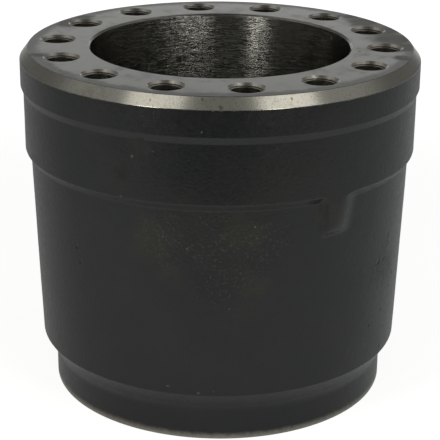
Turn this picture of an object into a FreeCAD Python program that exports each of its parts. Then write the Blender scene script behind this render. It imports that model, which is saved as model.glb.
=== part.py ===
import FreeCAD, Part
import math
import os
from FreeCAD import Vector

# Wheel hub of a heavy axle, cast in one piece and turned where it fits other parts.
# Millimetres, +Z up along the bore. The origin is the centre of the inboard end face, on which
# the hub stands. The outboard face with the ring of tapped holes is on top, and the cast lug
# under the collar points along -Y, below the first tapped hole.

# Outside of the casting: flange at the top, collar below it, drafted body and turned foot.
OVERALL_HEIGHT = 176.4
FLANGE_DIAMETER = 200.0
FLANGE_DEPTH = 18.0
COLLAR_DEPTH = 50.6
FOOT_DIAMETER = 171.8
FOOT_HEIGHT = 16.7

FACE_CHAMFER_WIDTH = 4.0
FACE_CHAMFER_DEPTH = 5.2

# Steps between the bands, each a ramp that leans from the axis. The collar's lower edge is
# slightly rounded, and the ramp above the foot runs out into the foot's wall.
FLANGE_STEP = 1.35
FLANGE_RAMP_ANGLE = 21.5
COLLAR_STEP = 2.8
COLLAR_RAMP_ANGLE = 38.0
COLLAR_EDGE_RADIUS = 1.5
FOOT_STEP = 6.6
FOOT_RAMP_ANGLE = 33.0
FOOT_ROOT_RADIUS = 9.0

# Bore, from the outboard face down: bearing seat, shoulder, cast grease space, shoulder,
# bearing seat and seal seat. The bearing cups stop against the two shoulders.
OUTBOARD_SEAT_DIAMETER = 130.0
OUTBOARD_SEAT_DEPTH = 46.0
OUTBOARD_SHOULDER_HEIGHT = 7.0
OUTBOARD_MOUTH_CHAMFER = 1.0
INBOARD_SEAT_DIAMETER = 140.0
INBOARD_SEAT_LENGTH = 38.0
INBOARD_SHOULDER_HEIGHT = 9.0
SEAL_STEP = 5.0
SEAL_SEAT_LENGTH = 16.0
SEAL_MOUTH_CHAMFER = 1.5
SHOULDER_LENGTH = 9.0
GREASE_SPACE_RELIEF = 5.0
GREASE_SPACE_SLOPE = 35.0

# Ring of blind holes tapped M16 x 1.5 in the outboard face, with open mouths and drill points.
HOLE_COUNT = 14
HOLE_CIRCLE_DIAMETER = 164.0
TAP_DRILL_DIAMETER = 14.5
HOLE_MOUTH_DIAMETER = 18.0
HOLE_DEPTH = 34.0
DRILL_POINT_ANGLE = 118.0
MOUTH_ANGLE = 90.0

# Cast lug, flush with the collar. Its left flank, seen from outside, is steep and its right one easy.
LUG_DROP = 17.8
LUG_LEFT_WIDTH = 7.1
LUG_RIGHT_WIDTH = 6.8
LUG_LEFT_TAPER = 3.5
LUG_RIGHT_TAPER = 15.0
LUG_STEEP_FLANK_ANGLE = 30.0
LUG_EASY_FLANK_ANGLE = 62.0
LUG_END_ANGLE = 35.0
LUG_CORNER_RADIUS = 2.6
LUG_EDGE_RADIUS = 1.0

# Diameters that follow from the steps.
COLLAR_DIAMETER = FLANGE_DIAMETER - 2 * FLANGE_STEP
BODY_TOP_DIAMETER = COLLAR_DIAMETER - 2 * COLLAR_STEP
BODY_FOOT_DIAMETER = FOOT_DIAMETER + 2 * FOOT_STEP
SEAL_SEAT_DIAMETER = INBOARD_SEAT_DIAMETER + 2 * SEAL_STEP

# Height above the collar's lower edge at which its rounding begins. The lug starts there.
COLLAR_EDGE_REACH = COLLAR_EDGE_RADIUS * math.tan(math.radians(COLLAR_RAMP_ANGLE / 2))

# Extra length of a cutter or of a hidden end, so that no two faces coincide.
OVERLAP = 1.0


def tangent(degrees):
    return math.tan(math.radians(degrees))


def rounded_outline(corners):
    """Close a wire through (radius, height, rounding) corners, with an arc at each rounded one."""
    count = len(corners)
    points = [Vector(corner[0], 0, corner[1]) for corner in corners]
    edges = []
    ends = []
    for index in range(count):
        here = points[index]
        to_last = (points[index - 1] - here).normalize()
        to_next = (points[(index + 1) % count] - here).normalize()
        rounding = corners[index][2]
        if rounding == 0:
            ends.append((here, here, None))
            continue
        half_turn = to_last.getAngle(to_next) / 2
        reach = rounding / math.tan(half_turn)
        start = here + to_last * reach
        finish = here + to_next * reach
        inward = (to_last + to_next).normalize()
        middle = here + inward * (rounding / math.sin(half_turn) - rounding)
        ends.append((start, finish, Part.Arc(start, middle, finish).toShape()))
    for index in range(count):
        start, finish, arc = ends[index]
        if arc:
            edges.append(arc)
        following = ends[(index + 1) % count][0]
        edges.append(Part.LineSegment(finish, following).toShape())
    return Part.Wire(edges)


def ramp_drop(step, angle):
    """Axial length of a ramp of a step that leans from the axis by an angle."""
    return step / tangent(angle)


def outside_corners():
    """Corners of the outer side, from the outboard face down to the inboard end face."""
    top = OVERALL_HEIGHT
    flange = FLANGE_DIAMETER / 2
    collar = COLLAR_DIAMETER / 2
    body_top = BODY_TOP_DIAMETER / 2
    body_foot = BODY_FOOT_DIAMETER / 2
    foot = FOOT_DIAMETER / 2
    flange_end = top - FLANGE_DEPTH
    collar_end = top - COLLAR_DEPTH
    flange_ramp = ramp_drop(FLANGE_STEP, FLANGE_RAMP_ANGLE)
    collar_ramp = ramp_drop(COLLAR_STEP, COLLAR_RAMP_ANGLE)
    foot_ramp = ramp_drop(FOOT_STEP, FOOT_RAMP_ANGLE)
    return [
        (flange - FACE_CHAMFER_WIDTH, top, 0),
        (flange, top - FACE_CHAMFER_DEPTH, 0),
        (flange, flange_end, 0),
        (collar, flange_end - flange_ramp, 0),
        (collar, collar_end, COLLAR_EDGE_RADIUS),
        (body_top, collar_end - collar_ramp, 0),
        (body_foot, FOOT_HEIGHT + foot_ramp, 0),
        (foot, FOOT_HEIGHT, FOOT_ROOT_RADIUS),
        (foot, 0, 0),
    ]


def bore_corners():
    """Corners of the bore, from the inboard end face up to the outboard face."""
    top = OVERALL_HEIGHT
    seal = SEAL_SEAT_DIAMETER / 2
    inboard = INBOARD_SEAT_DIAMETER / 2
    inboard_shoulder = inboard - INBOARD_SHOULDER_HEIGHT
    outboard = OUTBOARD_SEAT_DIAMETER / 2
    outboard_shoulder = outboard - OUTBOARD_SHOULDER_HEIGHT
    grease = max(inboard_shoulder, outboard_shoulder) + GREASE_SPACE_RELIEF
    inboard_stop = SEAL_SEAT_LENGTH + INBOARD_SEAT_LENGTH
    outboard_stop = top - OUTBOARD_SEAT_DEPTH
    grease_bottom = inboard_stop + SHOULDER_LENGTH
    grease_top = outboard_stop - SHOULDER_LENGTH
    lower_slope = (grease - inboard_shoulder) * tangent(GREASE_SPACE_SLOPE)
    upper_slope = (grease - outboard_shoulder) * tangent(GREASE_SPACE_SLOPE)
    return [
        (seal + SEAL_MOUTH_CHAMFER, 0, 0),
        (seal, SEAL_MOUTH_CHAMFER, 0),
        (seal, SEAL_SEAT_LENGTH, 0),
        (inboard, SEAL_SEAT_LENGTH, 0),
        (inboard, inboard_stop, 0),
        (inboard_shoulder, inboard_stop, 0),
        (inboard_shoulder, grease_bottom, 0),
        (grease, grease_bottom + lower_slope, 0),
        (grease, grease_top - upper_slope, 0),
        (outboard_shoulder, grease_top, 0),
        (outboard_shoulder, outboard_stop, 0),
        (outboard, outboard_stop, 0),
        (outboard, top - OUTBOARD_MOUTH_CHAMFER, 0),
        (outboard + OUTBOARD_MOUTH_CHAMFER, top, 0),
    ]


def turned_casting():
    """Spin the wall's section about the axis."""
    section = Part.Face(rounded_outline(outside_corners() + bore_corners()))
    return section.revolve(Vector(0, 0, 0), Vector(0, 0, 1), 360)


def drilled_hole():
    """Cutter of one tapping hole on the first hole's axis, with its drill point and open mouth."""
    drill = TAP_DRILL_DIAMETER / 2
    mouth = HOLE_MOUTH_DIAMETER / 2
    point_depth = drill / tangent(DRILL_POINT_ANGLE / 2)
    mouth_depth = (mouth - drill) / tangent(MOUTH_ANGLE / 2)
    above = OVERLAP * tangent(MOUTH_ANGLE / 2)
    outline = Part.makePolygon([
        Vector(0, 0, OVERLAP),
        Vector(mouth + above, 0, OVERLAP),
        Vector(drill, 0, -mouth_depth),
        Vector(drill, 0, -HOLE_DEPTH),
        Vector(0, 0, -HOLE_DEPTH - point_depth),
        Vector(0, 0, OVERLAP),
    ])
    cutter = Part.Face(outline).revolve(Vector(0, 0, 0), Vector(0, 0, 1), 360)
    cutter.translate(Vector(0, -HOLE_CIRCLE_DIAMETER / 2, OVERALL_HEIGHT))
    return cutter


def hole_ring():
    """All tapping holes, evenly spaced from the -Y direction."""
    first = drilled_hole()
    cutters = []
    for index in range(HOLE_COUNT):
        cutter = first.copy()
        cutter.rotate(Vector(0, 0, 0), Vector(0, 0, 1), 360 * index / HOLE_COUNT)
        cutters.append(cutter)
    return Part.makeCompound(cutters)


def lug_outline(distance):
    """Outline of the lug in the plane at a distance from the axis; it widens towards the body."""
    inset = COLLAR_DIAMETER / 2 - distance
    collar_end = OVERALL_HEIGHT - COLLAR_DEPTH
    rise = COLLAR_EDGE_REACH
    drop = LUG_DROP + inset * tangent(LUG_END_ANGLE)
    left = -LUG_LEFT_WIDTH - inset * tangent(LUG_STEEP_FLANK_ANGLE)
    right = LUG_RIGHT_WIDTH + inset * tangent(LUG_EASY_FLANK_ANGLE)
    lean_left = tangent(LUG_LEFT_TAPER)
    lean_right = tangent(LUG_RIGHT_TAPER)
    wire = rounded_outline([
        (left - rise * lean_left, collar_end + rise, 0),
        (left + drop * lean_left, collar_end - drop, LUG_CORNER_RADIUS),
        (right - drop * lean_right, collar_end - drop, LUG_CORNER_RADIUS),
        (right + rise * lean_right, collar_end + rise, 0),
    ])
    wire.translate(Vector(0, -distance, 0))
    return wire


def cast_lug():
    """Lug between the body's wall and the collar's surface."""
    inner = BODY_TOP_DIAMETER / 2 - 2 * OVERLAP
    outer = COLLAR_DIAMETER / 2 + OVERLAP
    wedge = Part.makeLoft([lug_outline(inner), lug_outline(outer)], True, True)
    envelope = Part.makeCylinder(COLLAR_DIAMETER / 2, OVERALL_HEIGHT)
    lug = wedge.common(envelope)
    face_edges = [edge for edge in lug.Edges if lies_on_collar(edge)]
    return lug.makeFillet(LUG_EDGE_RADIUS, face_edges)


def lies_on_collar(edge):
    """Whether an edge of the lug borders its outer face, other than at the lug's hidden top."""
    top = max(vertex.Z for vertex in edge.Vertexes)
    bottom = min(vertex.Z for vertex in edge.Vertexes)
    middle = edge.valueAt((edge.FirstParameter + edge.LastParameter) / 2)
    hidden_top = OVERALL_HEIGHT - COLLAR_DEPTH + COLLAR_EDGE_REACH
    if min(top, bottom) > hidden_top - OVERLAP / 100:
        return False
    return abs(math.hypot(middle.x, middle.y) - COLLAR_DIAMETER / 2) < OVERLAP / 100


def hub():
    """The whole casting with its lug and its tapped holes."""
    casting = turned_casting().fuse(cast_lug()).removeSplitter()
    finished = casting.cut(hole_ring())
    return Part.makeSolid(finished.Shells[0])


os.makedirs("parts", exist_ok=True)
hub_solid = hub()
hub_solid.exportStep("parts/hub.step")
print("hub: volume", round(hub_solid.Volume / 1000, 1), "cm3, valid", hub_solid.isValid())
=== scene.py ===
"""Wheel hub of a heavy axle: a coated casting with a turned face, bore and ring of tapped holes.

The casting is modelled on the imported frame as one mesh: a turned section, a cast lug under the
collar, slightly uneven cast walls, drilled holes with open mouths and cut threads. Each kind of
surface has its own finish.
"""

import logging
import math
from dataclasses import dataclass, field
from enum import Enum
from typing import Callable, Iterable, Optional, Union

import bmesh
import bpy
from mathutils import Matrix, Vector, noise

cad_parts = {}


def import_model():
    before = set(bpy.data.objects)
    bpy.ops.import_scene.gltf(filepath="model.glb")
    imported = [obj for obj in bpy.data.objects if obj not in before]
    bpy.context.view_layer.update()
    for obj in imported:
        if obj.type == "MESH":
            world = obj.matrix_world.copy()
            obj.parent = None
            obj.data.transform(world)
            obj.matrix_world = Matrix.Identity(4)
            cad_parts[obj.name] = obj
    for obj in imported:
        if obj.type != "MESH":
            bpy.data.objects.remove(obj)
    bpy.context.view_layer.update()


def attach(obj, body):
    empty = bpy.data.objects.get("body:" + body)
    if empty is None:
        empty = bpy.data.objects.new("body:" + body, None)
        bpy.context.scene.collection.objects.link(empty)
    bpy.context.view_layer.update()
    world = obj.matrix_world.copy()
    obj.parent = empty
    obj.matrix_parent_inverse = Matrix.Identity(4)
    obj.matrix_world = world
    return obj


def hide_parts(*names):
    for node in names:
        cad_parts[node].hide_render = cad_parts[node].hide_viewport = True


LOG = logging.getLogger("wheel_hub")
MM = 0.001
SPOT_CORE = 0.35  # share of a spot's reach that it fills wholly
SMOOTH_ANGLE = math.radians(32)
BORE_LIMIT = 77 * MM  # everything nearer to the axis belongs to the bore
WALL_LIMIT = 84 * MM  # everything farther from the axis belongs to the outside
BROAD_WAVES = 38.0  # waves of the cast walls for each metre
SMALL_WAVES = 120.0


class Surface(Enum):
    """Kinds of surface on the casting, numbered by their material slot."""

    COAT = 0
    FACE = 1
    CHAMFER = 2
    BORE = 3
    THREAD = 4


# Shader graphs


@dataclass(frozen=True)
class Signal:
    """A shader socket that takes part in Python arithmetic."""

    graph: "Graph"
    socket: bpy.types.NodeSocket

    def __add__(self, other: "Term") -> "Signal":
        """Sum with a number or a signal."""
        return self.graph.maths("ADD", self, other)

    def __radd__(self, other: "Term") -> "Signal":
        """Sum with a number on the left."""
        return self.graph.maths("ADD", other, self)

    def __sub__(self, other: "Term") -> "Signal":
        """Difference from this signal."""
        return self.graph.maths("SUBTRACT", self, other)

    def __rsub__(self, other: "Term") -> "Signal":
        """Difference from a number on the left."""
        return self.graph.maths("SUBTRACT", other, self)

    def __mul__(self, other: "Term") -> "Signal":
        """Product with a number or a signal."""
        return self.graph.maths("MULTIPLY", self, other)

    def __rmul__(self, other: "Term") -> "Signal":
        """Product with a number on the left."""
        return self.graph.maths("MULTIPLY", other, self)

    def __pow__(self, other: "Term") -> "Signal":
        """Power of this signal."""
        return self.graph.maths("POWER", self, other)

    def most(self, other: "Term") -> "Signal":
        """The larger of two values."""
        return self.graph.maths("MAXIMUM", self, other)


Term = Union[float, Signal]
Colour = tuple[float, float, float]
Paint = Union[Colour, Signal]
Sockets = dict[Union[str, int], object]


class Graph:
    """A node tree that is built from Python calls."""

    def __init__(self, tree: bpy.types.NodeTree) -> None:
        """Take the node tree of a material or of the world and empty it."""
        self.tree = tree
        self.tree.nodes.clear()

    def node(
        self, kind: str, sockets: Optional[Sockets] = None, **settings: object
    ) -> bpy.types.Node:
        """Add one node.

        Args:
            kind: Node type, such as ShaderNodeMath.
            sockets: Values or signals for the inputs, by name or number.
            settings: Properties that are set first.

        Returns:
            The new node.
        """
        made = self.tree.nodes.new(kind)
        for name, value in settings.items():
            setattr(made, name, value)
        for name, value in (sockets or {}).items():
            if isinstance(value, Signal):
                self.tree.links.new(value.socket, made.inputs[name])
            else:
                made.inputs[name].default_value = value
        return made

    def out(self, made: bpy.types.Node, socket: Union[str, int] = 0) -> Signal:
        """Wrap one output of a node."""
        return Signal(self, made.outputs[socket])

    def maths(self, operation: str, first: Term, second: Term = 0.0) -> Signal:
        """Add a Math node for one operation on numbers or signals."""
        return self.out(self.node("ShaderNodeMath", {0: first, 1: second}, operation=operation))

    def vector_maths(self, operation: str, *values: object) -> bpy.types.Node:
        """Add a Vector Math node for one operation."""
        return self.node("ShaderNodeVectorMath", dict(enumerate(values)), operation=operation)

    def position(self) -> Signal:
        """Place on the object, in metres."""
        return self.out(self.node("ShaderNodeTexCoord"), "Object")

    def parts(self, vector: Signal) -> tuple[Signal, Signal, Signal]:
        """Split a vector into its three numbers."""
        split = self.node("ShaderNodeSeparateXYZ", {0: vector})
        return self.out(split, 0), self.out(split, 1), self.out(split, 2)

    def vector(self, x: Term, y: Term, z: Term) -> Signal:
        """Join three numbers to a vector."""
        return self.out(self.node("ShaderNodeCombineXYZ", {0: x, 1: y, 2: z}))

    def noise(self, place: Signal, size: float, detail: float, roughness: float) -> Signal:
        """Cloudy noise between about 0.25 and 0.75.

        Args:
            place: Vector that the noise follows.
            size: Width of one cloud in metres.
            detail: Number of finer layers.
            roughness: Weight of the finer layers.

        Returns:
            The noise signal.
        """
        sockets = {"Vector": place, "Scale": 1.0 / size, "Detail": detail, "Roughness": roughness}
        return self.out(self.node("ShaderNodeTexNoise", sockets))

    def specks(self, place: Signal, spacing: float, reach: float) -> Signal:
        """Round specks scattered at about one per cell.

        Args:
            place: Vector that the specks follow.
            spacing: Mean distance between specks in metres.
            reach: Radius of a speck, as a share of the spacing.

        Returns:
            1 at the middle of a speck, falling to 0 at its rim.
        """
        cells = {"Vector": place, "Scale": 1.0 / spacing}
        made = self.node("ShaderNodeTexVoronoi", cells, feature="F1")
        return self.fade(self.out(made, "Distance"), reach, reach * 0.3)

    def fade(self, value: Term, low: float, high: float) -> Signal:
        """Smooth step from 0 at low to 1 at high. Low may be the larger number."""
        made = self.node(
            "ShaderNodeMapRange",
            {"Value": value, "From Min": low, "From Max": high, "To Min": 0.0, "To Max": 1.0},
            interpolation_type="SMOOTHSTEP",
        )
        return self.out(made)

    def blend(self, share: Term, first: "Paint", second: "Paint") -> Signal:
        """Mix two colours by the share of the second one."""
        sockets = {0: share, 6: self.opaque(first), 7: self.opaque(second)}
        return self.out(self.node("ShaderNodeMix", sockets, data_type="RGBA"), 2)

    @staticmethod
    def opaque(colour: "Paint") -> object:
        """Give a plain colour the fourth number that a socket wants."""
        return colour if isinstance(colour, Signal) else (*colour, 1.0)

    def ragged(self, place: Signal, size: float, shift: float) -> Signal:
        """Place that is shifted by noise, so that masks read at it have ragged edges.

        Args:
            place: Vector that the noise follows.
            size: Width of one shift in metres.
            shift: Largest shift in metres.

        Returns:
            The shifted place.
        """
        sockets = {"Vector": place, "Scale": 1.0 / size, "Detail": 4.0}
        waves = self.out(self.node("ShaderNodeTexNoise", sockets), "Color")
        moved = self.vector_maths("MULTIPLY_ADD", waves, (4 * shift,) * 3, (-2 * shift,) * 3)
        return self.out(self.vector_maths("ADD", place, self.out(moved)))

    def relief(self, height: Signal, depth: float, under: Optional[Signal] = None) -> Signal:
        """Small relief of the surface.

        Args:
            height: Signal whose unit step is one depth.
            depth: Height in metres of a unit step.
            under: Normal of a coarser relief below this one.

        Returns:
            The bent normal.
        """
        sockets: Sockets = {"Height": height, "Distance": depth, "Strength": 1.0}
        if under is not None:
            sockets["Normal"] = under
        return self.out(self.node("ShaderNodeBump", sockets))


@dataclass(frozen=True)
class Spot:
    """A stain, dent or chip at one place of the casting.

    Attributes:
        angle: Direction from the axis in degrees, 0 at the lug and growing towards +X.
        height: Height in millimetres.
        reach: Radius of the spot in millimetres.
        radius: Distance from the axis in millimetres.
    """

    angle: float
    height: float
    reach: float
    radius: float

    def mask(self, graph: Graph, place: Signal) -> Signal:
        """Signal that is 1 in the middle of the spot and 0 beyond its reach."""
        turn = math.radians(self.angle)
        across = Vector((math.sin(turn), -math.cos(turn), 0.0)) * self.radius
        centre = (across + Vector((0.0, 0.0, self.height))) * MM
        gap = graph.out(graph.vector_maths("DISTANCE", place, tuple(centre)), "Value")
        return graph.fade(gap, self.reach * MM, self.reach * SPOT_CORE * MM)


def spots(*rows: tuple[float, float, float, float]) -> tuple[Spot, ...]:
    """Make spots from rows of angle, height, reach and radius."""
    return tuple(Spot(*row) for row in rows)


def all_spots(graph: Graph, place: Signal, members: Iterable[Spot]) -> Signal:
    """Join the masks of several spots to the strongest one at each place."""
    masks = [spot.mask(graph, place) for spot in members]
    joined = masks[0]
    for mask in masks[1:]:
        joined = joined.most(mask)
    return joined


def new_material(name: str) -> tuple[bpy.types.Material, Graph]:
    """Make a material with an empty graph."""
    material = bpy.data.materials.new(name)
    material.use_nodes = True
    return material, Graph(material.node_tree)


def close_material(graph: Graph, sockets: Sockets) -> None:
    """Add the output and before it the Principled shader with its values and signals."""
    shader = graph.node("ShaderNodeBsdfPrincipled", sockets)
    graph.node("ShaderNodeOutputMaterial", {"Surface": graph.out(shader)})


# Finishes


@dataclass(frozen=True)
class BlackCoat:
    """Thin semi-gloss black coat over the cast skin, with wear to bare metal at the foot's rim; the
    bare ramp there is partly a painted reflection of the floor.

    Attributes:
        black: Colour of the coat.
        dusty: Colour of its dustier clouds.
        olive: Colour of the olive patches.
        brown: Colour of the oily brown stains, also used as painted shade in the dents and the
            pits.
        bare: Colour of bare metal, also used for the painted glints and the painted floor
            reflection on the rim.
        roughness: Mean roughness.
        rim_top: Height in metres up to which the foot shows wear to bare metal and a painted
            reflection of the floor.
        edge: Height in metres of the flange's upper edge.
        cloud_size: Width of the dusty clouds in metres.
        skin_size: Width of the waves of the cast skin.
        skin_depth: Depth of these waves.
        sand_size: Width of the marks of the mould's sand.
        sand_depth: Depth of these marks.
        patches: Olive patches.
        stains: Oily stains.
        coarse: Places where the sand of the mould shows most.
        chips: Chips of the coat.
        dents: Small pits and knocks, darkened with painted shade.
    """

    black: Colour = (0.0070, 0.0082, 0.0086)
    dusty: Colour = (0.0112, 0.0118, 0.0110)
    olive: Colour = (0.0175, 0.0167, 0.0118)
    brown: Colour = (0.0030, 0.0026, 0.0012)
    bare: Colour = (0.33, 0.31, 0.27)
    roughness: float = 0.31
    rim_top: float = 4.2 * MM
    edge: float = 171.2 * MM
    cloud_size: float = 34 * MM
    skin_size: float = 2.6 * MM
    skin_depth: float = 0.1 * MM
    sand_size: float = 1.3 * MM
    sand_depth: float = 0.11 * MM
    patches: tuple[Spot, ...] = spots(
        (-53.0, 106.0, 17, 95.3), (-49.0, 90.6, 9, 94.8), (-26.4, 111.5, 14, 95.5),
        (-24.4, 86.2, 9, 94.6), (-1.0, 116.0, 10, 98.0), (39.6, 2.0, 12, 85.9),
    )
    stains: tuple[Spot, ...] = spots((-56.2, 149.4, 4.5, 98.7), (-60.5, 137.0, 7.0, 98.7))
    coarse: tuple[Spot, ...] = spots(
        (-49.1, 106.8, 19, 95.3), (-35.7, 107.0, 20, 95.4), (-22.1, 105.1, 17, 95.3),
        (-32.3, 88.1, 18, 94.7), (26.0, 75.0, 16, 94.0),
    )
    chips: tuple[Spot, ...] = spots(
        (-57.7, 146.7, 0.8, 98.7), (-51.7, 149.9, 0.6, 98.6), (-61.3, 126.5, 0.7, 98.7),
        (-38.6, 161.2, 0.7, 100.0), (-49.0, 30.6, 0.8, 92.6), (-39.9, 28.3, 0.8, 92.5),
        (-35.5, 29.1, 0.6, 92.6), (-49.7, 108.2, 0.6, 95.4), (-42.9, 103.2, 0.8, 95.2),
        (-24.2, 114.3, 0.7, 95.6), (-31.1, 73.2, 0.6, 94.2),
    )
    dents: tuple[Spot, ...] = spots(
        (27.1, 93.0, 1.7, 94.9), (21.6, 80.7, 2.0, 94.4), (24.9, 81.0, 2.0, 94.4),
        (33.4, 68.2, 1.5, 94.0), (31.3, 62.4, 1.3, 93.8), (26.0, 52.5, 1.3, 93.4),
        (18.6, 48.2, 1.3, 93.3), (27.0, 31.2, 1.6, 92.7), (-79.8, 93.1, 1.6, 94.9),
        (-78.4, 85.5, 1.5, 94.6),
    )

    def material(self) -> bpy.types.Material:
        """Build the material."""
        material, graph = new_material("coated_casting")
        place = graph.position()
        _, _, z = graph.parts(place)
        loose = graph.ragged(place, 9 * MM, 5 * MM)
        frayed = graph.ragged(place, 1.5 * MM, 0.5 * MM)
        clouds = graph.noise(place, self.cloud_size, 4.0, 0.6)
        skin = graph.noise(place, self.skin_size, 5.0, 0.62)
        sand = graph.noise(place, self.sand_size, 3.0, 0.65)
        coarse = all_spots(graph, loose, self.coarse)
        dents = all_spots(graph, frayed, self.dents)
        pits = graph.specks(place, 2.3 * MM, 0.22) * graph.fade(clouds, 0.5, 0.66)
        # Mask of the painted glints in the rough patches.
        painted_glints = graph.specks(frayed, 1.6 * MM, 0.5) * graph.fade(sand, 0.4, 0.56)
        stains = all_spots(graph, loose, self.stains)
        burr = graph.fade(z + (skin - 0.5) * (1.6 * MM), self.edge - 0.3 * MM, self.edge + 0.2 * MM)
        # Bare metal at the foot's rim and at the coat's upper edge; the rim's ramp towards the
        # floor is partly wear and partly a painted reflection of the floor.
        wear_and_floor_reflection = graph.fade(z + (skin - 0.5) * (2.4 * MM), self.rim_top, 0.4 * MM).most(burr)
        paint = graph.blend(graph.fade(clouds, 0.42, 0.64) * 0.8, self.black, self.dusty)
        paint = graph.blend(all_spots(graph, loose, self.patches) * 0.8, paint, self.olive)
        paint = graph.blend(stains * 0.95, paint, self.brown)
        # Painted shade in the dents: they are darkened towards brown.
        paint = graph.blend(dents * 0.6, paint, self.brown)
        # Painted shade in the pits of the coarse patches: they are darkened towards brown.
        paint = graph.blend(pits * coarse * 0.8, paint, self.brown)
        # Painted glints: light specks of bare colour in the rough patches stand in for the lamps'
        # glints on the cast grain.
        paint = graph.blend(painted_glints * (coarse * 0.09 + 0.008), paint, self.bare)
        paint = graph.blend(all_spots(graph, frayed, self.chips) * 0.28, paint, self.bare)
        colour = graph.blend(wear_and_floor_reflection, paint, self.bare)
        rough = self.roughness + (skin - 0.5) * 0.25 + coarse * 0.06 + stains * 0.3
        relief = graph.relief(skin - pits * 0.35, self.skin_depth)
        grain = sand * (coarse * 2.6 + 0.7) - dents * 4.0
        relief = graph.relief(grain, self.sand_depth, relief)
        metal = wear_and_floor_reflection * 0.85
        close_material(
            graph, {"Base Color": colour, "Metallic": metal, "Roughness": rough, "Normal": relief}
        )
        return material


@dataclass(frozen=True)
class TurnedMetal:
    """Bare turned metal with tool marks around the axis.

    Attributes:
        name: Name of the material.
        clean: Colour of the clean metal.
        stained: Colour of its stains.
        roughness: Mean roughness.
        pitch: Distance between tool marks in metres.
        mark_depth: Depth of the tool marks in metres.
        speckle: How strongly fine specks show.
        streak: How many times longer than wide the marks are; 0 for rings around the axis.
        dull_from: Radius in metres from which the metal is duller; 0 for nowhere.
        dull_ramp: Width in metres over which it grows dull.
        dull_share: Share of the stain colour in the dull metal.
        cloudy: How strongly broad clouds show.
        cloud_size: Width of the clouds in metres.
        grit_size: Width of the fine specks in metres.
        grit_depth: Depth of the fine specks in metres.
        stains: Large stains with ragged edges.
        pits: Small dark pits and smudges.
    """

    name: str
    clean: Colour
    stained: Colour
    roughness: float
    pitch: float
    mark_depth: float
    speckle: float
    streak: float = 0.0
    dull_from: float = 0.0
    dull_ramp: float = 5 * MM
    dull_share: float = 0.6
    cloudy: float = 0.3
    cloud_size: float = 9 * MM
    grit_size: float = 0.9 * MM
    grit_depth: float = 0.004 * MM
    stains: tuple[Spot, ...] = ()
    pits: tuple[Spot, ...] = ()

    def material(self) -> bpy.types.Material:
        """Build the material."""
        material, graph = new_material(self.name)
        place = graph.position()
        x, y, z = graph.parts(place)
        radius = (x * x + y * y) ** 0.5
        lathe = graph.vector(radius, z, 0.0)
        if self.streak:
            lathe = graph.vector(x * (1 / self.streak), y * (1 / self.streak), z)
        marks = graph.noise(lathe, self.pitch, 2.0, 0.7)
        clouds = graph.noise(place, self.cloud_size, 5.0, 0.62)
        grit = graph.noise(place, self.grit_size, 3.0, 0.7)
        stain = graph.fade(clouds, 0.5, 0.7) * self.cloudy
        if self.dull_from:
            ring = radius + (clouds - 0.5) * (8 * MM)
            dull = graph.fade(ring, self.dull_from, self.dull_from + self.dull_ramp)
            stain = stain.most(dull * self.dull_share)
        if self.stains:
            edged = all_spots(graph, graph.ragged(place, 6 * MM, 3 * MM), self.stains)
            stain = stain.most(edged * graph.fade(grit + clouds, 0.5, 0.9))
        if self.pits:
            frayed = graph.ragged(place, 1.5 * MM, 0.5 * MM)
            stain = stain.most(all_spots(graph, frayed, self.pits))
        colour = graph.blend(stain, self.clean, self.stained)
        colour = graph.blend(graph.fade(grit, 0.54, 0.68) * self.speckle, colour, self.stained)
        rough = self.roughness + (clouds - 0.5) * 0.1 + (grit - 0.5) * 0.12 + stain * 0.12
        relief = graph.relief(marks, self.mark_depth)
        relief = graph.relief(grit, self.grit_depth, relief)
        close_material(
            graph, {"Base Color": colour, "Metallic": 1.0, "Roughness": rough, "Normal": relief}
        )
        return material


FINISHES = {
    Surface.COAT: BlackCoat(),
    Surface.FACE: TurnedMetal(
        name="turned_face",
        clean=(0.305, 0.305, 0.29),
        stained=(0.075, 0.08, 0.07),
        roughness=0.31,
        pitch=0.35 * MM,
        mark_depth=0.004 * MM,
        speckle=0.12,
        dull_from=88 * MM,
        stains=spots(
            (-151.4, 176.4, 13, 89.0), (-161.0, 176.4, 9, 91.2), (52.9, 176.4, 16, 89.0),
            (64.0, 176.4, 18, 89.0), (76.0, 176.4, 18, 89.0), (88.0, 176.4, 15, 90.5),
            (97.0, 176.4, 9, 93.0), (39.4, 176.4, 8, 92.7), (-107.6, 176.4, 7, 92.0),
        ),
        pits=spots(
            (-79.9, 176.4, 2.2, 88.9), (-88.0, 176.4, 1.2, 92.5), (44.0, 176.4, 1.2, 70.0),
            (48.5, 176.4, 1.0, 68.5), (50.5, 176.4, 1.3, 73.0), (41.0, 176.4, 0.9, 73.5),
            (5.0, 176.4, 1.0, 93.0),
        ),
    ),
    Surface.CHAMFER: TurnedMetal(
        name="turned_chamfer",
        clean=(0.35, 0.34, 0.30),
        stained=(0.16, 0.15, 0.125),
        roughness=0.2,
        pitch=0.3 * MM,
        mark_depth=0.008 * MM,
        speckle=0.6,
        pits=spots(
            (-38.7, 175.3, 1.2, 97.0), (-33.8, 172.2, 1.4, 99.2), (-52.5, 173.7, 0.8, 98.0),
            (-15.0, 174.5, 0.8, 97.5),
        ),
    ),
    Surface.BORE: TurnedMetal(
        name="turned_bore",
        clean=(0.25, 0.247, 0.226),
        stained=(0.07, 0.067, 0.058),
        roughness=0.17,
        pitch=0.4 * MM,
        mark_depth=0.24 * MM,
        speckle=0.9,
        streak=30.0,
        pits=spots((166.1, 151.6, 3.0, 65.0), (163.1, 152.4, 2.2, 65.0)),
    ),
    Surface.THREAD: TurnedMetal(
        name="cut_thread",
        clean=(0.46, 0.44, 0.39),
        stained=(0.13, 0.112, 0.085),
        roughness=0.24,
        pitch=0.4 * MM,
        mark_depth=0.003 * MM,
        speckle=0.5,
    ),
}


# Modelling helpers


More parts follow.
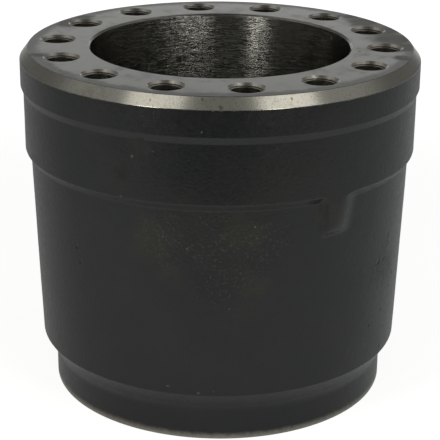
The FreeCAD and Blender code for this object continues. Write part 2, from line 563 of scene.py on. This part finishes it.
def deselect_all() -> None:
    """Leave nothing selected and nothing active in object mode."""
    bpy.ops.object.select_all(action="DESELECT")
    bpy.context.view_layer.objects.active = None


def take(piece: bpy.types.Object) -> None:
    """Make one object the only selected and the active one."""
    deselect_all()
    piece.select_set(True)
    bpy.context.view_layer.objects.active = piece


def pick(piece: bpy.types.Object, kind: str, wanted: Callable[[list[Vector]], bool]) -> None:
    """Select edges or faces in edit mode.

    Args:
        piece: Object in edit mode.
        kind: EDGE or FACE.
        wanted: Test on the places of an edge's or a face's corners.
    """
    bpy.ops.mesh.select_mode(type=kind)
    bpy.ops.mesh.select_all(action="DESELECT")
    mesh = bmesh.from_edit_mesh(piece.data)
    for part in mesh.edges if kind == "EDGE" else mesh.faces:
        if wanted([vertex.co for vertex in part.verts]):
            part.select_set(True)
    mesh.select_flush_mode()
    bmesh.update_edit_mesh(piece.data)


def apply_modifier(piece: bpy.types.Object, kind: str, **settings: object) -> None:
    """Add a modifier, set it and apply it.

    Args:
        piece: Object that takes the modifier.
        kind: Modifier type.
        settings: Properties of the modifier.
    """
    take(piece)
    modifier = piece.modifiers.new(kind.lower(), kind)
    for name, value in settings.items():
        setattr(modifier, name, value)
    bpy.ops.object.modifier_apply(modifier=modifier.name)


def polar_radius(place: Vector) -> float:
    """Distance from the hub's axis."""
    return math.hypot(place.x, place.y)


def face_outwards() -> None:
    """Turn all faces of the mesh in edit mode outwards."""
    bpy.ops.mesh.select_all(action="SELECT")
    bpy.ops.mesh.normals_make_consistent(inside=False)


def soft_most(first: float, second: float, width: float) -> float:
    """The larger of two heights, with a fillet of about the given width where they cross."""
    share = max(width - abs(first - second), 0.0) / width
    return max(first, second) + share * share * width * 0.25


# The casting


@dataclass(frozen=True)
class Corner:
    """One corner of the turned section.

    Attributes:
        radius: Distance from the axis in metres.
        height: Height in metres.
        rounding: Radius of the rounded corner in metres, 0 for none.
        facets: Number of facets of the rounding.
    """

    radius: float
    height: float
    rounding: float = 0.0
    facets: int = 2


def sweep(corners: list[Corner], facets: int, centre: float, fill: str) -> bpy.types.Object:
    """Model a round wall through the corners of a section and stay in edit mode.

    Args:
        corners: Corners of the section, in order.
        facets: Facets around the wall.
        centre: Place of its axis along Y.
        fill: NGON for a wall that starts with a lid, NOTHING for one without.

    Returns:
        The new object.
    """
    deselect_all()
    bpy.ops.mesh.primitive_circle_add(
        vertices=facets,
        radius=corners[0].radius,
        fill_type=fill,
        location=(0.0, centre, corners[0].height),
    )
    piece = bpy.context.object
    bpy.ops.object.transform_apply(location=True, rotation=True, scale=True)
    bpy.ops.object.mode_set(mode="EDIT")
    bpy.ops.mesh.select_mode(type="EDGE" if fill == "NOTHING" else "FACE")
    bpy.ops.mesh.select_all(action="SELECT")
    for here, beyond in zip(corners, corners[1:]):
        bpy.ops.mesh.extrude_region_move(
            TRANSFORM_OT_translate={"value": (0.0, 0.0, beyond.height - here.height)}
        )
        share = beyond.radius / here.radius
        bpy.ops.transform.resize(
            value=(share, share, 1.0), center_override=(0.0, centre, beyond.height)
        )
    return piece


@dataclass
class TappedHoles:
    """Ring of blind tapped holes in the outboard face.

    Attributes:
        count: Number of holes.
        circle_radius: Radius of the ring in metres.
        drill_radius: Radius of the tapping drill.
        mouth_radius: Radius of the open mouth at the face.
        mouth_slope: Width of the mouth's cone for each metre of its depth.
        depth: Depth of the straight wall.
        point_depth: Height of the drill point below the straight wall.
        start: Height above the face at which the tap's coil ends, on the +X side of each hole.
        thread_radius: Radius of the thread's roots.
        pitch: Pitch of the thread.
        turns: Number of threaded turns.
        facets: Facets around a hole.
    """

    count: int = 14
    circle_radius: float = 82.0 * MM
    drill_radius: float = 7.25 * MM
    mouth_radius: float = 9.0 * MM
    mouth_slope: float = math.tan(math.radians(45))
    depth: float = 34.0 * MM
    point_depth: float = 4.3 * MM
    start: float = 1.37 * MM
    thread_radius: float = 8.0 * MM
    pitch: float = 1.5 * MM
    turns: int = 20
    facets: int = 36

    def drill(self, top: float) -> bpy.types.Object:
        """Model the shape that the drill and the countersink take away.

        Args:
            top: Height of the face.

        Returns:
            A closed cutter at the first hole.
        """
        above = 1.0 * MM
        cone = (self.mouth_radius - self.drill_radius) / self.mouth_slope
        corners = [
            Corner(self.mouth_radius + above * self.mouth_slope, top + above),
            Corner(self.drill_radius, top - cone),
            Corner(self.drill_radius, top - self.depth),
            Corner(self.drill_radius * 0.02, top - self.depth - self.point_depth),
        ]
        cutter = sweep(corners, self.facets, -self.circle_radius, "NGON")
        face_outwards()
        bpy.ops.object.mode_set(mode="OBJECT")
        return cutter

    def tap(self, top: float) -> bpy.types.Object:
        """Model the coil of metal that the tap takes away.

        Args:
            top: Height of the face.

        Returns:
            A closed coil of V section at the first hole.
        """
        inner = self.drill_radius - 0.3 * MM
        root = self.pitch / 16
        flank = root + (self.thread_radius - inner) * math.tan(math.radians(30))
        outer = self.thread_radius
        section = [(inner, -flank), (outer, -root), (outer, root), (inner, flank)]
        deselect_all()
        bpy.ops.mesh.primitive_circle_add(vertices=len(section), radius=self.thread_radius)
        coil = bpy.context.object
        for vertex, (radius, height) in zip(coil.data.vertices, section):
            vertex.co = (radius, 0.0, height)
        apply_modifier(
            coil,
            "SCREW",
            axis="Z",
            angle=math.tau,
            screw_offset=self.pitch,
            iterations=self.turns,
            steps=self.facets,
            render_steps=self.facets,
        )
        foot = Vector((0.0, -self.circle_radius, top + self.start - self.turns * self.pitch))
        coil.data.transform(Matrix.Translation(foot))
        take(coil)
        bpy.ops.object.mode_set(mode="EDIT")
        bpy.ops.mesh.select_mode(type="EDGE")
        bpy.ops.mesh.select_all(action="SELECT")
        bpy.ops.mesh.remove_doubles(threshold=0.001 * MM)
        bpy.ops.mesh.fill_holes(sides=len(section))
        face_outwards()
        bpy.ops.object.mode_set(mode="OBJECT")
        return coil

    def ring_of(self, first: bpy.types.Object) -> bpy.types.Object:
        """Repeat a cutter around the axis and join the copies.

        The copies are shifted and not turned, because the machine starts every thread alike.

        Args:
            first: Cutter at the first hole.

        Returns:
            All cutters as one object.
        """
        copies = [first]
        centre = Vector((0.0, -self.circle_radius, 0.0))
        for index in range(1, self.count):
            turn = Matrix.Rotation(math.tau * index / self.count, 3, "Z")
            copy = first.copy()
            copy.data = first.data.copy()
            copy.data.transform(Matrix.Translation(turn @ centre - centre))
            bpy.context.scene.collection.objects.link(copy)
            copies.append(copy)
        take(first)
        for copy in copies:
            copy.select_set(True)
        bpy.ops.object.join()
        return first

    def cut(self, piece: bpy.types.Object, top: float) -> None:
        """Drill and tap all holes.

        Args:
            piece: The casting.
            top: Height of its face.
        """
        for cutter in (self.ring_of(self.drill(top)), self.ring_of(self.tap(top))):
            apply_modifier(
                piece, "BOOLEAN", operation="DIFFERENCE", solver="MANIFOLD", object=cutter
            )
            bpy.data.objects.remove(cutter)

    def holds(self, place: Vector) -> bool:
        """Whether a place lies within one of the holes, seen from above."""
        angle = math.atan2(place.x, -place.y)
        step = math.tau / self.count
        nearest = round(angle / step) * step
        across = place.x - self.circle_radius * math.sin(nearest)
        along = place.y + self.circle_radius * math.cos(nearest)
        return math.hypot(across, along) < self.mouth_radius + 0.02 * MM


@dataclass
class CastLug:
    """Cast lug under the collar, flush with it, steep on its left and easy on its right.

    Attributes:
        drop: How far its face reaches below the collar's edge.
        left: Width of the face left of the middle, at the collar's edge.
        right: Width of the face right of the middle, at the collar's edge.
        left_taper: Lean of the left edge in degrees.
        right_taper: Lean of the right edge in degrees.
        left_flank: Angle of the left flank from the radial direction in degrees.
        right_flank: Angle of the right flank in degrees.
        end_flank: Angle of the lower flank in degrees.
        corner: Radius of the outline's lower corners.
        fillet: Width of the blends at the foot and the brow of the flanks.
    """

    drop: float = 17.8 * MM
    left: float = 7.1 * MM
    right: float = 6.6 * MM
    left_taper: float = 3.5
    right_taper: float = 15.0
    left_flank: float = 30.0
    right_flank: float = 62.0
    end_flank: float = 35.0
    corner: float = 4.0 * MM
    fillet: float = 2.6 * MM

    def wants(self, place: Vector, collar_end: float) -> bool:
        """Whether a face near the lug needs a finer grid."""
        if polar_radius(place) < WALL_LIMIT:
            return False
        aside = math.atan2(place.x, -place.y) * polar_radius(place)
        near = -17.0 * MM < aside < 20.0 * MM
        return near and collar_end - 26.0 * MM < place.z < collar_end + 5.0 * MM

    def face_radius(self, aside: float, below: float, collar_radius: float) -> float:
        """Radius of the lug's skin at one place.

        Args:
            aside: Distance from the lug's middle, to its right.
            below: Distance below the collar's edge.
            collar_radius: Radius of the collar.

        Returns:
            The radius of the skin, which falls away outside the face's outline.
        """
        past_left = -aside - (self.left - below * math.tan(math.radians(self.left_taper)))
        past_right = aside - (self.right - below * math.tan(math.radians(self.right_taper)))
        past_end = below - self.drop
        falls = [
            past_left / math.tan(math.radians(self.left_flank)),
            past_right / math.tan(math.radians(self.right_flank)),
            past_end / math.tan(math.radians(self.end_flank)),
        ]
        fall = soft_most(soft_most(falls[0], falls[1], self.corner), falls[2], self.corner)
        return collar_radius - soft_most(fall, 0.0, self.fillet)

    def raise_on(self, piece: bpy.types.Object, collar_radius: float, collar_end: float) -> None:
        """Refine the wall around the lug and lift it.

        Args:
            piece: The turned casting.
            collar_radius: Radius of the collar.
            collar_end: Height of the collar's lower edge.
        """
        take(piece)
        bpy.ops.object.mode_set(mode="EDIT")
        pick(
            piece,
            "FACE",
            lambda places: self.wants(sum(places, Vector()) / len(places), collar_end),
        )
        bpy.ops.mesh.subdivide(number_cuts=4)
        bpy.ops.object.mode_set(mode="OBJECT")
        for vertex in piece.data.vertices:
            place = vertex.co
            radius = polar_radius(place)
            if not self.wants(place, collar_end):
                continue
            angle = math.atan2(place.x, -place.y)
            skin = self.face_radius(angle * collar_radius, collar_end - place.z, collar_radius)
            lifted = min(soft_most(radius, skin, self.fillet), max(collar_radius, radius))
            place.x *= lifted / radius
            place.y *= lifted / radius


@dataclass
class HubCasting:
    """The whole hub: one casting, turned, drilled and tapped.

    Attributes:
        segments: Facets around the axis.
        height: Overall height.
        flange_radius: Radius of the flange.
        collar_radius: Radius of the collar.
        body_top_radius: Radius of the drafted body under the collar.
        body_foot_radius: Radius of the body above the foot.
        foot_radius: Radius of the foot.
        flange_end: Height of the flange's lower edge.
        collar_end: Height of the collar's lower edge.
        foot_height: Height of the foot's straight wall.
        chamfer_width: Width of the face's chamfer.
        chamfer_depth: Height of that chamfer.
        outboard_seat: Radius of the outboard bearing seat.
        outboard_depth: Depth of its shoulder below the face.
        inboard_seat: Radius of the inboard bearing seat.
        inboard_end: Height of its shoulder.
        seal_seat: Radius of the seal's seat.
        seal_end: Height of that seat's end.
        grease_space: Radius of the cast space between the shoulders.
        shoulder_length: Length of both shoulders' straight bores.
        holes: The tapped holes.
        lug: The cast lug.
    """

    segments: int = 240
    height: float = 176.4 * MM
    flange_radius: float = 100.0 * MM
    collar_radius: float = 98.65 * MM
    body_top_radius: float = 95.85 * MM
    body_foot_radius: float = 92.5 * MM
    foot_radius: float = 85.9 * MM
    flange_end: float = 158.4 * MM
    collar_end: float = 125.8 * MM
    foot_height: float = 16.7 * MM
    chamfer_width: float = 4.0 * MM
    chamfer_depth: float = 5.2 * MM
    outboard_seat: float = 65.0 * MM
    outboard_depth: float = 46.0 * MM
    inboard_seat: float = 70.0 * MM
    inboard_end: float = 54.0 * MM
    seal_seat: float = 75.0 * MM
    seal_end: float = 16.0 * MM
    grease_space: float = 66.0 * MM
    shoulder_length: float = 9.0 * MM
    holes: TappedHoles = field(default_factory=TappedHoles)
    lug: CastLug = field(default_factory=CastLug)

    def outer_corners(self) -> list[Corner]:
        """Corners of the outside, from the face down."""
        top = self.height
        return [
            Corner(self.flange_radius - self.chamfer_width, top, 0.6 * MM, 3),
            Corner(self.flange_radius, top - self.chamfer_depth, 0.5 * MM, 2),
            Corner(self.flange_radius, self.flange_end, 0.5 * MM, 2),
            Corner(self.collar_radius, self.flange_end - 3.43 * MM, 1.6 * MM, 3),
            Corner(self.collar_radius, self.collar_end, 1.5 * MM, 4),
            Corner(self.body_top_radius, self.collar_end - 3.58 * MM, 1.6 * MM, 4),
            Corner(self.body_foot_radius, self.foot_height + 10.16 * MM, 0.9 * MM, 3),
            Corner(self.foot_radius, self.foot_height, 9.0 * MM, 7),
            Corner(self.foot_radius, 0.0, 0.5 * MM, 2),
        ]

    def inner_corners(self) -> list[Corner]:
        """Corners of the bore, from the inboard end up to the face."""
        top = self.height
        edge = 0.4 * MM
        lower = self.inboard_seat - 9.0 * MM
        upper = self.outboard_seat - 7.0 * MM
        stop = top - self.outboard_depth
        return [
            Corner(self.seal_seat + 1.5 * MM, 0.0, edge),
            Corner(self.seal_seat, 1.5 * MM, edge),
            Corner(self.seal_seat, self.seal_end, edge),
            Corner(self.inboard_seat, self.seal_end, edge),
            Corner(self.inboard_seat, self.inboard_end, edge),
            Corner(lower, self.inboard_end, edge),
            Corner(lower, self.inboard_end + self.shoulder_length, 2.0 * MM, 3),
            Corner(self.grease_space, 66.5 * MM, 4.0 * MM, 4),
            Corner(self.grease_space, 115.8 * MM, 4.0 * MM, 4),
            Corner(upper, stop - self.shoulder_length, 2.0 * MM, 3),
            Corner(upper, stop, edge),
            Corner(self.outboard_seat, stop, edge),
            Corner(self.outboard_seat, top - 1.0 * MM, 0.3 * MM, 2),
            Corner(self.outboard_seat + 1.0 * MM, top, 0.3 * MM, 2),
        ]

    def turn(self) -> bpy.types.Object:
        """Model the turned section as a closed ring of quads with rounded corners."""
        corners = self.outer_corners() + self.inner_corners()
        piece = sweep(corners, self.segments, 0.0, "NOTHING")
        piece.name = "hub_casting"
        bpy.ops.mesh.select_all(action="DESELECT")
        bpy.ops.mesh.select_non_manifold()
        bpy.ops.mesh.bridge_edge_loops()
        face_outwards()
        self.round_corners(piece, corners)
        bpy.ops.object.mode_set(mode="OBJECT")
        return piece

    @staticmethod
    def round_corners(piece: bpy.types.Object, corners: list[Corner]) -> None:
        """Round the corners of the section.

        Args:
            piece: Casting in edit mode.
            corners: All corners in order around the section.
        """
        for index, corner in enumerate(corners):
            here = Vector((corner.radius, corner.height))
            before = corners[index - 1]
            after = corners[(index + 1) % len(corners)]
            to_before = Vector((before.radius, before.height)) - here
            to_after = Vector((after.radius, after.height)) - here
            half_turn = (math.pi - to_before.angle(to_after)) / 2
            reach = corner.rounding * math.tan(half_turn)

            def at_corner(place: Vector) -> bool:
                gap = Vector((polar_radius(place), place.z)) - here
                return gap.length < 0.02 * MM

            pick(piece, "EDGE", lambda ends: all(map(at_corner, ends)))
            bpy.ops.mesh.bevel(
                offset_type="OFFSET",
                offset=reach,
                segments=corner.facets,
                profile=0.5,
                affect="EDGES",
                clamp_overlap=False,
            )

    def refine(self, piece: bpy.types.Object) -> None:
        """Divide the tall walls into rows, so that the cast skin can be uneven."""
        take(piece)
        bpy.ops.object.mode_set(mode="EDIT")
        for low, high, cuts in (
            (0.0, 14.5 * MM, 4),
            (18.0 * MM, 27.0 * MM, 2),
            (26.5 * MM, 122.0 * MM, 26),
            (126.0 * MM, 155.0 * MM, 11),
            (158.5 * MM, 171.0 * MM, 4),
        ):
            pick(
                piece,
                "EDGE",
                lambda ends: polar_radius(ends[0]) > WALL_LIMIT
                and abs(ends[0].z - ends[1].z) > 4 * MM
                and low - 2 * MM < min(ends[0].z, ends[1].z)
                and max(ends[0].z, ends[1].z) < high + 2 * MM,
            )
            bpy.ops.mesh.subdivide(number_cuts=cuts)
        bpy.ops.object.mode_set(mode="OBJECT")

    def unevenness(self, piece: bpy.types.Object) -> None:
        """Give the cast walls the slight waves of a sand casting."""
        for vertex in piece.data.vertices:
            place = vertex.co
            radius = polar_radius(place)
            if radius < WALL_LIMIT:
                continue
            rise = min(max((place.z - self.foot_height) / (6 * MM), 0.0), 1.0)
            fall = min(max((152.0 * MM - place.z) / (6 * MM), 0.0), 1.0)
            weight = rise * fall
            if weight <= 0.0:
                continue
            broad = noise.noise(place * BROAD_WAVES)
            small = noise.noise(place * SMALL_WAVES + Vector((3.1, 7.7, 1.9)))
            shift = weight * (0.11 * broad + 0.04 * small) * MM
            place.x *= (radius + shift) / radius
            place.y *= (radius + shift) / radius

    def surface_at(self, middle: Vector) -> Surface:
        """Name the kind of surface of a face.

        Args:
            middle: Middle of the face.

        Returns:
            The kind of surface.
        """
        radius = polar_radius(middle)
        below = self.height - middle.z
        rim = self.flange_radius - self.chamfer_width
        mouth = self.outboard_seat + 1.0 * MM
        slack = 0.1 * MM
        if 0.01 * MM < below < 45 * MM and self.holes.holds(middle):
            return Surface.THREAD
        if below < 0.2 * MM and mouth - slack < radius < rim + slack:
            return Surface.FACE
        if radius > rim - slack and below < self.chamfer_depth + slack:
            return Surface.CHAMFER
        if radius < BORE_LIMIT or middle.z < 0.1 * MM:
            return Surface.BORE
        return Surface.COAT

    def dress(self, piece: bpy.types.Object) -> None:
        """Give every face of the finished casting its finish."""
        piece.data.materials.clear()
        for kind in Surface:
            piece.data.materials.append(FINISHES[kind].material())
        for polygon in piece.data.polygons:
            polygon.material_index = self.surface_at(polygon.center).value

    def build(self) -> bpy.types.Object:
        """Model and dress the hub."""
        piece = self.turn()
        self.refine(piece)
        self.lug.raise_on(piece, self.collar_radius, self.collar_end)
        self.unevenness(piece)
        self.holes.cut(piece, self.height)
        self.dress(piece)
        take(piece)
        bpy.ops.object.shade_smooth_by_angle(angle=SMOOTH_ANGLE)
        apply_modifier(piece, "WEIGHTED_NORMAL", mode="FACE_AREA", weight=50, keep_sharp=True)
        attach(piece, "root")
        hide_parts("hub")
        return piece


# The studio


@dataclass(frozen=True)
class SoftBox:
    """An upright rectangular lamp that looks at the hub.

    Attributes:
        name: Name of the lamp.
        azimuth: Direction from the hub in degrees, 0 towards -Y and growing towards +X.
        power: Power in watts.
        elevation: Height above the horizon in degrees.
        distance: Distance from the hub in metres.
        width: Width in metres.
        height: Height in metres.
        tint: Colour of the light.
    """

    name: str
    azimuth: float
    power: float
    elevation: float = 46.0
    distance: float = 0.42
    width: float = 0.16
    height: float = 0.24
    tint: Colour = (1.0, 0.98, 0.93)

    def place(self, aim: Vector) -> None:
        """Put the lamp in the scene, turned to the point that it lights."""
        turn = math.radians(self.azimuth)
        rise = math.radians(self.elevation)
        level = math.cos(rise)
        away = Vector((math.sin(turn) * level, -math.cos(turn) * level, math.sin(rise)))
        deselect_all()
        bpy.ops.object.light_add(type="AREA", location=aim + away * self.distance)
        lamp = bpy.context.object
        lamp.name = self.name
        lamp.data.shape = "RECTANGLE"
        lamp.data.size = self.width
        lamp.data.size_y = self.height
        lamp.data.energy = self.power
        lamp.data.color = self.tint
        lamp.rotation_euler = away.to_track_quat("Z", "Y").to_euler()


@dataclass
class Studio:
    """Pale floor, soft lamps, white surroundings and the camera.

    Attributes:
        camera_place: Place of the camera in metres.
        camera_azimuth: Turn of the camera about the upright, in degrees.
        camera_pitch: How far it looks down, in degrees.
        camera_roll: Its roll in degrees.
        lens: Focal length in millimetres.
        floor_grey: Grey of the floor.
        floor_front: How far the floor reaches in front of the hub.
        floor_size: Width of the floor.
        near_glow: What the hub's front reflects of the floor.
        left_glow: What its left side reflects.
        right_glow: What its right side reflects.
        rear_glow: What the floor shows far behind the hub.
        low_sky: Surroundings below the horizon.
        middle_sky: Surroundings above the horizon.
        high_sky: Surroundings high up.
        side_sky: Brighter surroundings high at both sides.
        zenith: Surroundings straight above.
        backdrop: Wall behind the hub, which the turned face reflects.
        view_azimuth: Direction of the view in degrees, 0 from -Y.
    """

    camera_place: tuple[float, float, float] = (-0.40990542, -0.60474548, 0.35962307)
    camera_azimuth: float = -34.1737
    camera_pitch: float = 20.8210
    camera_roll: float = 0.4851
    lens: float = 122.35
    floor_grey: float = 0.4
    floor_front: float = 0.42
    floor_size: float = 6.0
    near_glow: Colour = (0.37, 0.378, 0.378)
    left_glow: Colour = (0.25, 0.26, 0.255)
    right_glow: Colour = (0.30, 0.325, 0.322)
    rear_glow: Colour = (0.9, 0.9, 0.9)
    low_sky: Colour = (0.05, 0.05, 0.05)
    middle_sky: Colour = (0.2, 0.2, 0.195)
    high_sky: Colour = (0.3, 0.3, 0.29)
    side_sky: Colour = (0.46, 0.46, 0.45)
    zenith: Colour = (0.06, 0.06, 0.06)
    backdrop: Colour = (1.05, 1.05, 1.04)
    view_azimuth: float = -34.13

    def build(self) -> None:
        """Build everything around the hub."""
        self.lay_floor()
        self.light_world()
        aim = Vector((0.0, 0.0, 0.1))
        lamps = (
            SoftBox("lamp_left", self.view_azimuth - 39, 0.15),
            SoftBox("lamp_right", self.view_azimuth + 41, 0.18),
            SoftBox("low_lamp_left", self.view_azimuth - 36, 0.4, 17, 0.5, 0.09, 0.15),
            SoftBox("low_lamp_right", self.view_azimuth + 28, 0.37, 17, 0.5, 0.09, 0.15),
        )
        for lamp in lamps:
            lamp.place(aim)
        self.set_camera()

    def lay_floor(self) -> None:
        """Lay the pale floor, which the camera sees as white with the hub's shadow."""
        deselect_all()
        turn = math.radians(self.view_azimuth)
        shift = self.floor_size / 2 - self.floor_front
        bpy.ops.mesh.primitive_plane_add(
            size=self.floor_size,
            location=(-math.sin(turn) * shift, math.cos(turn) * shift, 0.0),
            rotation=(0.0, 0.0, turn),
        )
        floor = bpy.context.object
        floor.name = "floor"
        bpy.ops.object.transform_apply(location=True, rotation=True, scale=True)
        material, graph = new_material("pale_floor")
        path = graph.node("ShaderNodeLightPath")
        x, y, _ = graph.parts(graph.position())
        away = (x * x + y * y) ** 0.5
        white = graph.blend(graph.fade(away, 0.3, 0.8), (0.85, 0.85, 0.85), (1.0, 1.0, 1.0))
        aside = x * math.cos(turn) + y * math.sin(turn)
        ahead = x * math.sin(turn) - y * math.cos(turn)
        pale = graph.blend(graph.fade(aside, -0.1, 0.25), self.left_glow, self.right_glow)
        pale = graph.blend(graph.fade(ahead, 0.04, 0.15), pale, self.near_glow)
        rear = graph.fade(ahead, -0.6, -1.0) * graph.fade(aside * aside, 0.25, 0.04)
        pale = graph.blend(rear, pale, self.rear_glow)
        glow = graph.blend(graph.out(path, "Is Glossy Ray"), (0.0, 0.0, 0.0), pale)
        glow = graph.blend(graph.out(path, "Is Camera Ray"), glow, white)
        close_material(
            graph,
            {
                "Base Color": (self.floor_grey, self.floor_grey, self.floor_grey, 1.0),
                "Roughness": 0.9,
                "Specular IOR Level": 0.0,
                "Emission Color": glow,
                "Emission Strength": 1.0,
            },
        )
        floor.data.materials.append(material)

    def light_world(self) -> None:
        """Surround the scene with soft light; the camera sees it as white."""
        world = bpy.data.worlds.new("studio")
        world.use_nodes = True
        bpy.context.scene.world = world
        graph = Graph(world.node_tree)
        seen = graph.out(graph.node("ShaderNodeLightPath"), "Is Camera Ray")
        direction = graph.out(graph.node("ShaderNodeTexCoord"), "Generated")
        turn = math.radians(self.view_azimuth)
        back = (-math.sin(turn), math.cos(turn), 0.0)
        depth = graph.out(graph.vector_maths("DOT_PRODUCT", direction, back), "Value")
        _, _, rise = graph.parts(direction)
        behind_it = graph.fade(depth, 0.84, 0.985) * graph.fade(rise, 0.335, 0.17)
        around = graph.blend(graph.fade(rise, -0.1, 0.1), self.low_sky, self.middle_sky)
        around = graph.blend(graph.fade(rise, 0.5, 0.75), around, self.high_sky)
        sides = graph.fade(depth, -0.35, -0.05) * graph.fade(depth, 0.55, 0.15)
        sides = sides * graph.fade(rise, 0.35, 0.6)
        around = graph.blend(sides, around, self.side_sky)
        around = graph.blend(graph.fade(rise, 0.88, 0.97), around, self.zenith)
        behind_it = behind_it * graph.fade(rise, -0.08, 0.12)
        around = graph.blend(behind_it, around, self.backdrop)
        colour = graph.blend(seen, around, (1.0, 1.0, 1.0))
        lit = graph.node("ShaderNodeBackground", {"Color": colour, "Strength": 1.0})
        graph.node("ShaderNodeOutputWorld", {"Surface": graph.out(lit)})

    def set_camera(self) -> None:
        """Set the camera at the photograph's place and angle."""
        deselect_all()
        bpy.ops.object.camera_add(location=self.camera_place)
        camera = bpy.context.object
        camera.name = "camera"
        camera.data.lens = self.lens
        camera.data.sensor_width = 36.0
        camera.data.clip_start = 0.01
        aim = Matrix.Rotation(math.radians(self.camera_azimuth), 4, "Z")
        aim = aim @ Matrix.Rotation(math.radians(90.0 - self.camera_pitch), 4, "X")
        aim = aim @ Matrix.Rotation(math.radians(self.camera_roll), 4, "Z")
        camera.rotation_euler = aim.to_euler()
        bpy.context.scene.camera = camera


def main() -> None:
    """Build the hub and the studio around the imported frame."""
    logging.basicConfig(level=logging.INFO, format="%(name)s: %(message)s")
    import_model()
    piece = HubCasting().build()
    LOG.info("%s: %d faces", piece.name, len(piece.data.polygons))
    bpy.context.scene.view_settings.view_transform = "Standard"
    Studio().build()


if __name__ == "__main__":
    main()
